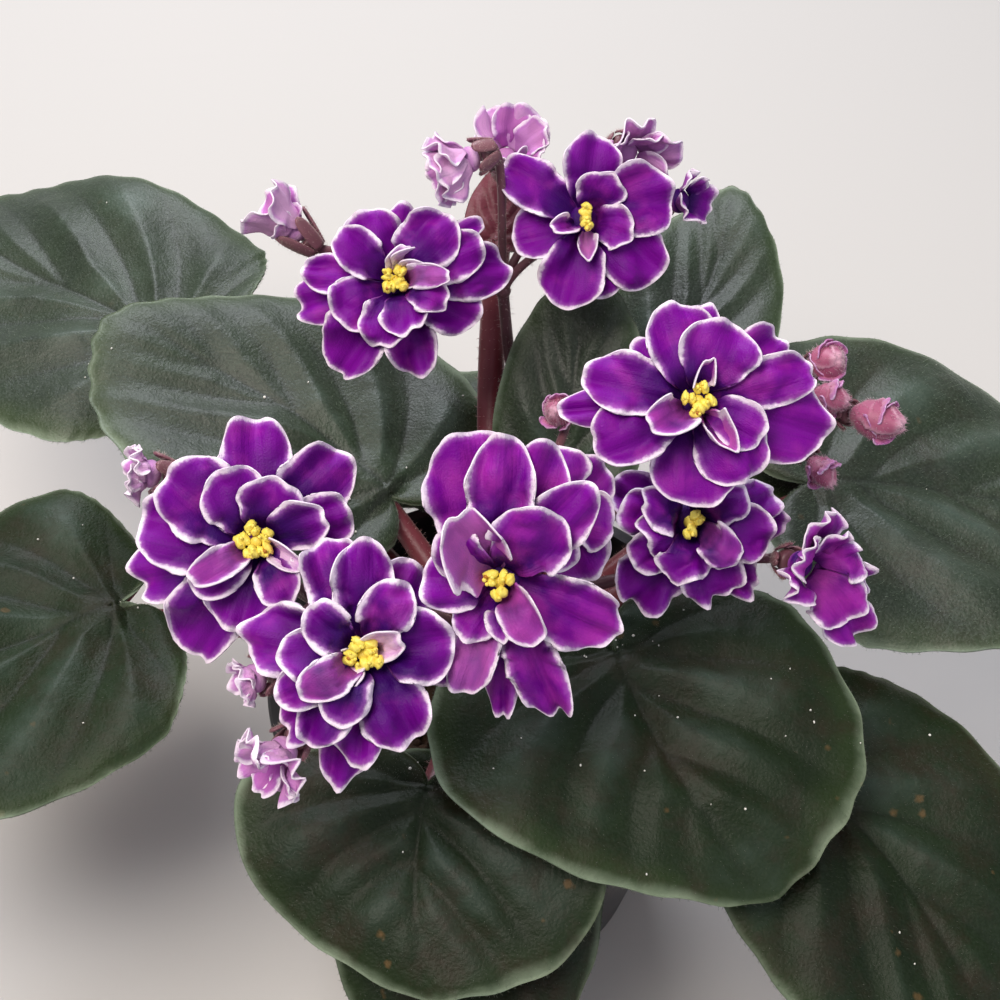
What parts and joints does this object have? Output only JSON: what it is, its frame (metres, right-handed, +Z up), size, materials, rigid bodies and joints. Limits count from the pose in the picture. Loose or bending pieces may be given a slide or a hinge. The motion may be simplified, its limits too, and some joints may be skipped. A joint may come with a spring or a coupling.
{
  "type": "potted african violet",
  "caption": "Flowering houseplant: a flat rosette of velvety heart-shaped leaves with ruffled double purple blooms on thin stalks, growing in a plain round nursery pot.",
  "frame": {"origin": "centre of the pot's flat bottom", "axes": "+Z up, -Y towards the front of the plant as pictured, +X to the right"},
  "size_m": [0.3026, 0.2401, 0.1704],
  "materials": {
    "pot_plastic": "moulded charcoal polypropylene, satin",
    "potting_mix": "damp crumbly peat",
    "red_leaf_stalk": "hairy red-brown leaf stalk",
    "velvet_leaf": "velvety dark green leaf with a pale rim",
    "flower_stalk": "thin hairy maroon stalk",
    "purple_petal": "purple petal with a white frilled rim",
    "pale_petal": "pale lilac-pink petal with a white frilled rim",
    "pollen": "yellow pollen sac",
    "bud": "pink closed bud, downy"
  },
  "bodies": {
    "root": {"pot": "pot_plastic", "potting_mix": "potting_mix", "crown_and_leaf_stalks": "red_leaf_stalk", "leaf_left_back": "velvet_leaf", "leaf_left": "velvet_leaf", "leaf_left_front": "velvet_leaf", "leaf_front": "velvet_leaf", "leaf_front_right": "velvet_leaf", "leaf_right": "velvet_leaf", "leaf_right_lower": "velvet_leaf", "leaf_back_right": "velvet_leaf", "leaf_right_behind": "velvet_leaf", "leaf_under_front": "velvet_leaf", "leaf_back": "velvet_leaf", "leaf_young_back": "velvet_leaf", "leaf_young_left": "velvet_leaf", "leaf_young_red": "velvet_leaf", "stalk_back": "flower_stalk", "stalk_left": "flower_stalk", "stalk_centre": "flower_stalk", "stalk_right": "flower_stalk", "stalk_right_lower": "flower_stalk", "bloom_top": "purple_petal", "bloom_top_pollen": "pollen", "bloom_top_left": "purple_petal", "bloom_top_left_pollen": "pollen", "bloom_left": "purple_petal", "bloom_left_pollen": "pollen", "bloom_front_left": "purple_petal", "bloom_front_left_pollen": "pollen", "bloom_centre": "purple_petal", "bloom_centre_pollen": "pollen", "bloom_centre_behind": "purple_petal", "bloom_centre_behind_pollen": "pollen", "bloom_right": "purple_petal", "bloom_right_pollen": "pollen", "bloom_right_lower": "purple_petal", "bloom_right_lower_pollen": "pollen", "bloom_far_right": "purple_petal", "bloom_nodding_back": "pale_petal", "bloom_upper_back": "pale_petal", "bloom_back_right": "pale_petal", "bloom_back_small": "purple_petal", "bloom_closed_left": "pale_petal", "bloom_small_left": "pale_petal", "bloom_small_front": "pale_petal", "bloom_spent_front": "pale_petal", "bud_right_upper": "bud", "bud_right_middle": "bud", "bud_right_outer": "bud", "bud_right_low": "bud", "bud_middle": "bud"}
  },
  "joints": []
}
